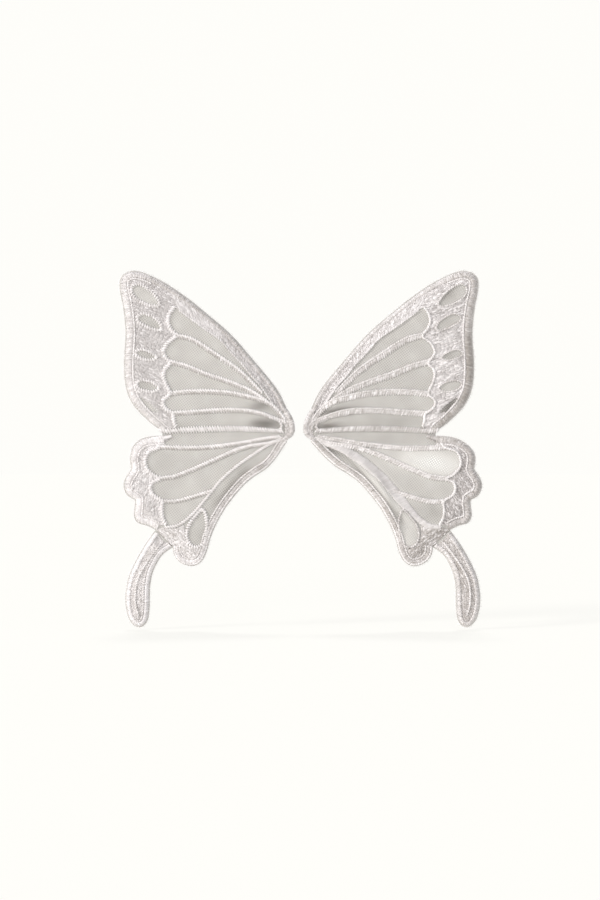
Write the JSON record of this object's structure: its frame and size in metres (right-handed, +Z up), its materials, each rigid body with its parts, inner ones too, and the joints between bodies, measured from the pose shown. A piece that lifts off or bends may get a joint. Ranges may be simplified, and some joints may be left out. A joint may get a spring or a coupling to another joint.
{
  "type": "embroidered fairy wings",
  "caption": "Swallowtail fairy wings of embroidered sheer cloth, hung from root tacks that sew to a garment, with hindwings that fold along a seam and tails that flex.",
  "frame": {"origin": "midway between the two wing roots, on the back plane where the garment lies", "axes": "+X to the right wing as seen from the front, +Y out of the back towards the garment, +Z up"},
  "size_m": [0.1613, 0.0012, 0.1588],
  "materials": {
    "satin_thread": "satin",
    "fill_thread": "satin",
    "organza": "sheer"
  },
  "bodies": {
    "sewn_roots": {"left_root_tack": "satin_thread", "right_root_tack": "satin_thread"},
    "left_forewing": {"left_forewing_back_sheer": "organza", "left_forewing_front_sheer": "organza", "left_forewing_edge_cord": "satin_thread", "left_forewing_seam_cord": "satin_thread", "left_forewing_window_cord": "satin_thread", "left_forewing_vein_1": "satin_thread", "left_forewing_vein_2": "satin_thread", "left_forewing_vein_3": "satin_thread", "left_forewing_vein_4": "satin_thread", "left_forewing_leading_fill": "fill_thread", "left_forewing_margin_fill": "fill_thread", "left_forewing_teardrop_1": "satin_thread", "left_forewing_teardrop_2": "satin_thread", "left_forewing_teardrop_3": "satin_thread", "left_forewing_teardrop_4": "satin_thread"},
    "left_hindwing": {"left_hindwing_back_sheer": "organza", "left_hindwing_front_sheer": "organza", "left_hindwing_outer_edge_cord": "satin_thread", "left_hindwing_inner_edge_cord": "satin_thread", "left_hindwing_window_cord": "satin_thread", "left_hindwing_main_vein": "satin_thread", "left_hindwing_vein_1": "satin_thread", "left_hindwing_vein_2": "satin_thread", "left_hindwing_lobe_cord": "satin_thread", "left_hindwing_margin_fill": "fill_thread"},
    "left_tail": {"left_tail_back_sheer": "organza", "left_tail_front_sheer": "organza", "left_tail_edge_cord": "satin_thread", "left_tail_midrib_cord": "satin_thread"},
    "right_forewing": {"right_forewing_back_sheer": "organza", "right_forewing_front_sheer": "organza", "right_forewing_edge_cord": "satin_thread", "right_forewing_seam_cord": "satin_thread", "right_forewing_window_cord": "satin_thread", "right_forewing_vein_1": "satin_thread", "right_forewing_vein_2": "satin_thread", "right_forewing_vein_3": "satin_thread", "right_forewing_vein_4": "satin_thread", "right_forewing_leading_fill": "fill_thread", "right_forewing_margin_fill": "fill_thread", "right_forewing_teardrop_1": "satin_thread", "right_forewing_teardrop_2": "satin_thread", "right_forewing_teardrop_3": "satin_thread", "right_forewing_teardrop_4": "satin_thread"},
    "right_hindwing": {"right_hindwing_back_sheer": "organza", "right_hindwing_front_sheer": "organza", "right_hindwing_outer_edge_cord": "satin_thread", "right_hindwing_inner_edge_cord": "satin_thread", "right_hindwing_window_cord": "satin_thread", "right_hindwing_main_vein": "satin_thread", "right_hindwing_vein_1": "satin_thread", "right_hindwing_vein_2": "satin_thread", "right_hindwing_lobe_cord": "satin_thread", "right_hindwing_margin_fill": "fill_thread"},
    "right_tail": {"right_tail_back_sheer": "organza", "right_tail_front_sheer": "organza", "right_tail_edge_cord": "satin_thread", "right_tail_midrib_cord": "satin_thread"}
  },
  "joints": [
    {"name": "left_wing_flap", "type": "hinge", "parent": "sewn_roots", "child": "left_forewing", "pos_m": [-0.005, -0.00125, 0], "axis": [0, 0, 1], "range_deg": [0, 80]},
    {"name": "left_hindwing_fold", "type": "hinge", "parent": "left_forewing", "child": "left_hindwing", "pos_m": [-0.033, -0.00063, -0.0012], "axis": [1, 0, 0], "range_deg": [-70, 20]},
    {"name": "left_tail_flex", "type": "hinge", "parent": "left_hindwing", "child": "left_tail", "pos_m": [-0.06035, -0.00063, -0.04775], "axis": [0.7163, 0, -0.6977], "range_deg": [-60, 30]},
    {"name": "right_wing_flap", "type": "hinge", "parent": "sewn_roots", "child": "right_forewing", "pos_m": [0.005, -0.00125, 0], "axis": [0, 0, -1], "range_deg": [0, 80]},
    {"name": "right_hindwing_fold", "type": "hinge", "parent": "right_forewing", "child": "right_hindwing", "pos_m": [0.033, -0.00063, -0.0012], "axis": [1, 0, 0], "range_deg": [-70, 20]},
    {"name": "right_tail_flex", "type": "hinge", "parent": "right_hindwing", "child": "right_tail", "pos_m": [0.06375, -0.00063, -0.04775], "axis": [0.7163, 0, 0.6977], "range_deg": [-60, 30]}
  ]
}
